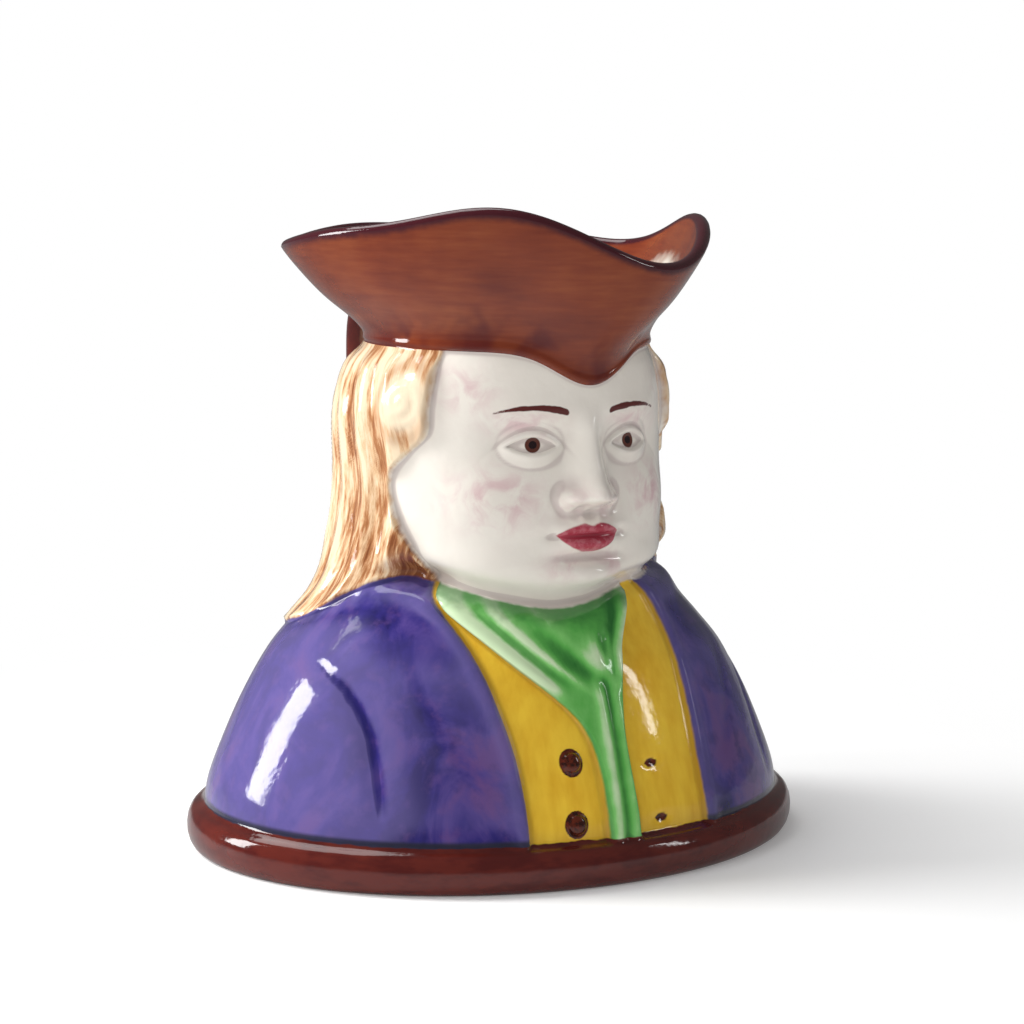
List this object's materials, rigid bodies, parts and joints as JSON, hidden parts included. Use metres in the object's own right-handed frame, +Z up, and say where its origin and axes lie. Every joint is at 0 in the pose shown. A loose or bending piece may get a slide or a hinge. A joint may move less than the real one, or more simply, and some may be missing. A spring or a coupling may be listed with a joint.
{
  "type": "toby jug",
  "caption": "Glazed earthenware toby jug: the bust of a man in a three-cornered hat, hollow, with a strap handle at the back",
  "frame": {"origin": "on the surface that the jug stands on, under the middle of its whole plan, handle included; the middle of the foot is 2.05 mm from it towards -Y, because the handle stands out at the back", "axes": "+Z up; the figure looks along -Y, its right hand is towards -X and the handle is at +Y"},
  "size_m": [0.1518, 0.1265, 0.149],
  "materials": {
    "painted_glaze": "glossy clear glaze over hand-painted colours"
  },
  "bodies": {
    "root": {"jug": "painted_glaze"}
  },
  "joints": []
}
